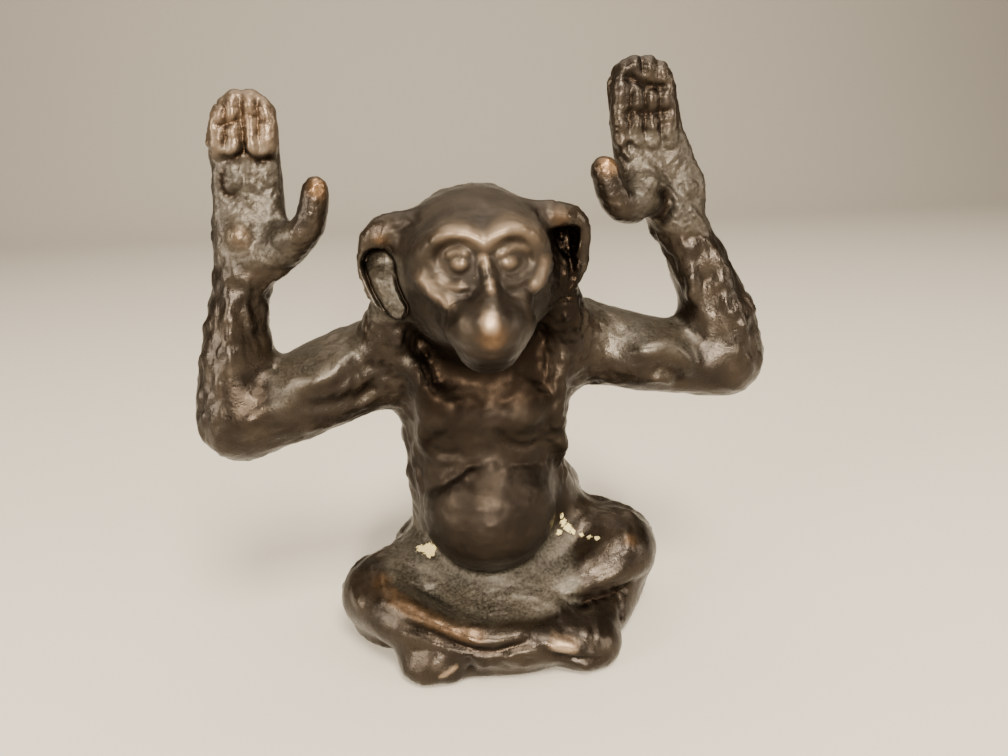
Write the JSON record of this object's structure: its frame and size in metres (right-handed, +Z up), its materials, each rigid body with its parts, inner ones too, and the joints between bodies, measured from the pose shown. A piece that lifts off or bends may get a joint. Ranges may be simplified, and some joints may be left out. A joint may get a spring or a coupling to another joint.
{
  "type": "cast metal monkey figurine",
  "caption": "Seated monkey cast in dark patinated metal, legs crossed and both palms raised, a shelf or table ornament that stands on its flat underside.",
  "frame": {"origin": "on the flat underside, below the chest, where the figure's middle plane meets the front of the seat", "axes": "+Z up; the face looks along -Y; +X points to the viewer's right, the side of the higher hand"},
  "size_m": [0.0888, 0.0539, 0.09],
  "materials": {
    "bronze": "dark brown patina, semi-gloss, rubbed brighter on the high places, dusty in the hollows"
  },
  "bodies": {
    "root": {"monkey_figure": "bronze"}
  },
  "joints": []
}
